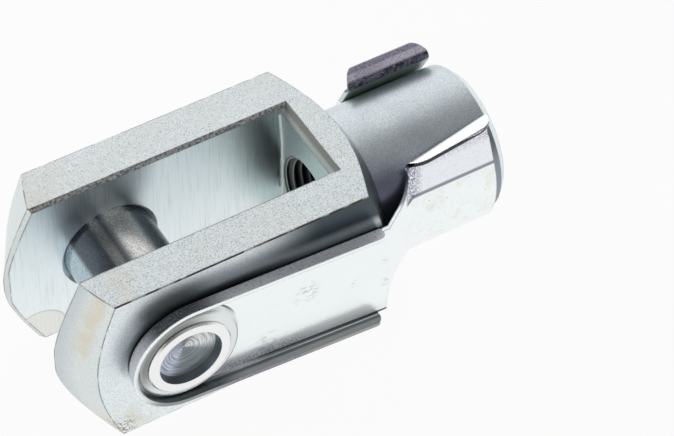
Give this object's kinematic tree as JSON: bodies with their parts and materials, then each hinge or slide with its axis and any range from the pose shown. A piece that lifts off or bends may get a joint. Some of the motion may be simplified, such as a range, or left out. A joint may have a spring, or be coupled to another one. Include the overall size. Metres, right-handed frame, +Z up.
{
  "type": "clevis rod end",
  "caption": "Square clevis rod end with a threaded neck, closed by a clevis pin on a sheet spring clip that snaps around the neck.",
  "frame": {"origin": "middle of the slot, on the axis of the clevis pin", "axes": "+X along the rod towards the threaded neck, +Y along the pin away from the clip, +Z up towards the open side of the clip"},
  "size_m": [0.083, 0.0364, 0.032],
  "materials": {
    "zinc_plated_steel": "satin, machined and zinc plated",
    "turned_pin_steel": "turned, smooth",
    "plated_spring_sheet": "bright plated sheet"
  },
  "bodies": {
    "fork": {"fork_body": "zinc_plated_steel"},
    "clip": {"clevis_pin": "turned_pin_steel", "spring_clip": "plated_spring_sheet"}
  },
  "joints": [
    {"name": "clip_swing", "type": "hinge", "parent": "fork", "child": "clip", "pos_m": [0, 0, 0], "axis": [0, 1, 0], "range_deg": [0, 325], "deforming": ["spring_clip"]}
  ]
}
